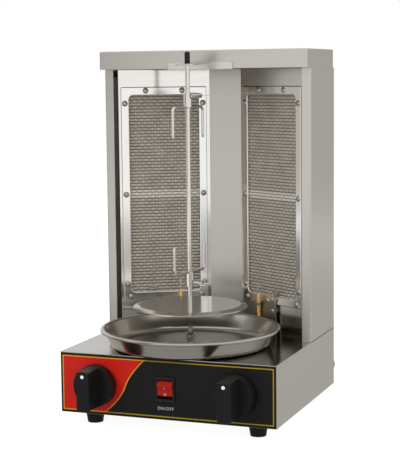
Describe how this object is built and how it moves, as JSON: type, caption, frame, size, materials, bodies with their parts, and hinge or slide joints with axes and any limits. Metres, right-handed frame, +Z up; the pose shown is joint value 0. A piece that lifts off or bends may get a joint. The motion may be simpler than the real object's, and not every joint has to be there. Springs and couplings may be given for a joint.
{
  "type": "gas doner kebab grill",
  "caption": "Table-top gas doner grill: steel tower with two angled mesh burners behind a motor-driven vertical spit with forks, meat disc and drip pan, on a base with gas knobs and a switch.",
  "frame": {"origin": "on the floor under the middle of the whole object's outline", "axes": "+Z up, -Y towards the control panel and the cook, +X to the cook's right"},
  "size_m": [0.29, 0.356, 0.4787],
  "materials": {
    "brushed_steel": "satin brushed stainless",
    "polished_steel": "mirror polished stainless",
    "printed_panel": "black print with a red corner and a thin yellow line",
    "net_wire": "dull heat-stained wire net",
    "plaque_ceramic": "unglazed perforated ceramic",
    "glazed_ceramic": "amber glaze",
    "motor_casting": "as cast",
    "black_plastic": "fine matte",
    "red_plastic": "gloss",
    "black_rubber": "matte",
    "brass": "machined"
  },
  "bodies": {
    "frame": {"base_back_panel": "brushed_steel", "base_housing": "brushed_steel", "body_screws": "polished_steel", "bottom_plate": "brushed_steel", "burner_screws": "polished_steel", "control_panel": "printed_panel", "cord_gland": "black_plastic", "front_left_foot": "black_rubber", "front_right_foot": "black_rubber", "gas_inlet": "brass", "gas_jets": "brass", "gas_rail": "brushed_steel", "gear_motor": "motor_casting", "igniter_brackets": "brushed_steel", "igniter_insulators": "glazed_ceramic", "igniter_pins": "polished_steel", "left_burner_frame": "polished_steel", "left_burner_mesh": "net_wire", "left_burner_pipe": "brushed_steel", "left_burner_tray": "brushed_steel", "left_ceramic_plaques": "plaque_ceramic", "left_gas_valve": "brass", "left_mixing_tube": "brushed_steel", "left_side_wall": "brushed_steel", "left_wall_bracket": "brushed_steel", "rear_left_foot": "black_rubber", "rear_right_foot": "black_rubber", "reflector_panel": "polished_steel", "right_burner_frame": "polished_steel", "right_burner_mesh": "net_wire", "right_burner_pipe": "brushed_steel", "right_burner_tray": "brushed_steel", "right_ceramic_plaques": "plaque_ceramic", "right_gas_valve": "brass", "right_mixing_tube": "brushed_steel", "right_side_wall": "brushed_steel", "right_wall_bracket": "brushed_steel", "roof_cover": "brushed_steel", "shaft_bush": "black_plastic", "spit_guide": "polished_steel", "switch_housing": "black_plastic", "terminal_block": "black_plastic", "tower_back_panel": "brushed_steel"},
    "drive": {"motor_shaft": "brushed_steel", "drive_socket": "brushed_steel"},
    "spit": {"spit_rod": "brushed_steel", "spit_cap": "black_rubber", "meat_disc": "polished_steel"},
    "upper_fork_body": {"upper_fork": "polished_steel"},
    "lower_fork_body": {"lower_fork": "polished_steel"},
    "upper_clamp": {"upper_fork_screw": "polished_steel"},
    "lower_clamp": {"lower_fork_screw": "polished_steel"},
    "pan": {"drip_pan": "polished_steel"},
    "left_tap": {"left_valve_plug": "brass"},
    "left_tap_knob": {"left_knob": "black_plastic", "left_valve_stem": "brushed_steel"},
    "right_tap": {"right_valve_plug": "brass"},
    "right_tap_knob": {"right_knob": "black_plastic", "right_valve_stem": "brushed_steel"},
    "power_rocker": {"rocker": "red_plastic"}
  },
  "joints": [
    {"name": "drive_spin", "type": "hinge", "parent": "frame", "child": "drive", "pos_m": [0, -0.044, 0.1], "axis": [0, 0, 1], "continuous": true},
    {"name": "spit_lift", "type": "slide", "parent": "drive", "child": "spit", "axis": [0, 0, 1], "range_m": [0, 0.02]},
    {"name": "upper_fork_slide", "type": "slide", "parent": "spit", "child": "upper_fork_body", "axis": [0, 0, 1], "range_m": [-0.06, 0.004]},
    {"name": "lower_fork_slide", "type": "slide", "parent": "spit", "child": "lower_fork_body", "axis": [0, 0, 1], "range_m": [-0.012, 0.06]},
    {"name": "upper_clamp_turn", "type": "hinge", "parent": "upper_fork_body", "child": "upper_clamp", "pos_m": [0, -0.044, 0.4202], "axis": [0.9863, -0.165, 0], "range_deg": [0, 360]},
    {"name": "lower_clamp_turn", "type": "hinge", "parent": "lower_fork_body", "child": "lower_clamp", "pos_m": [0, -0.044, 0.1778], "axis": [0.9863, -0.165, 0], "range_deg": [0, 360]},
    {"name": "pan_lift", "type": "slide", "parent": "frame", "child": "pan", "axis": [0, 0, 1], "range_m": [0, 0.018]},
    {"name": "rocker_tip", "type": "hinge", "parent": "frame", "child": "power_rocker", "pos_m": [0, -0.13, 0.0568], "axis": [-1, 0, 0], "range_deg": [0, 20]},
    {"name": "left_tap_turn", "type": "hinge", "parent": "frame", "child": "left_tap", "pos_m": [-0.093, -0.13, 0.0568], "axis": [0, -1, 0], "range_deg": [0, 180]},
    {"name": "left_tap_press", "type": "slide", "parent": "left_tap", "child": "left_tap_knob", "axis": [0, 1, 0], "range_m": [0, 0.003], "stiffness_N_per_m": 800, "springref_m": -0.004},
    {"name": "right_tap_turn", "type": "hinge", "parent": "frame", "child": "right_tap", "pos_m": [0.093, -0.13, 0.0568], "axis": [0, -1, 0], "range_deg": [0, 180]},
    {"name": "right_tap_press", "type": "slide", "parent": "right_tap", "child": "right_tap_knob", "axis": [0, 1, 0], "range_m": [0, 0.003], "stiffness_N_per_m": 800, "springref_m": -0.004}
  ]
}
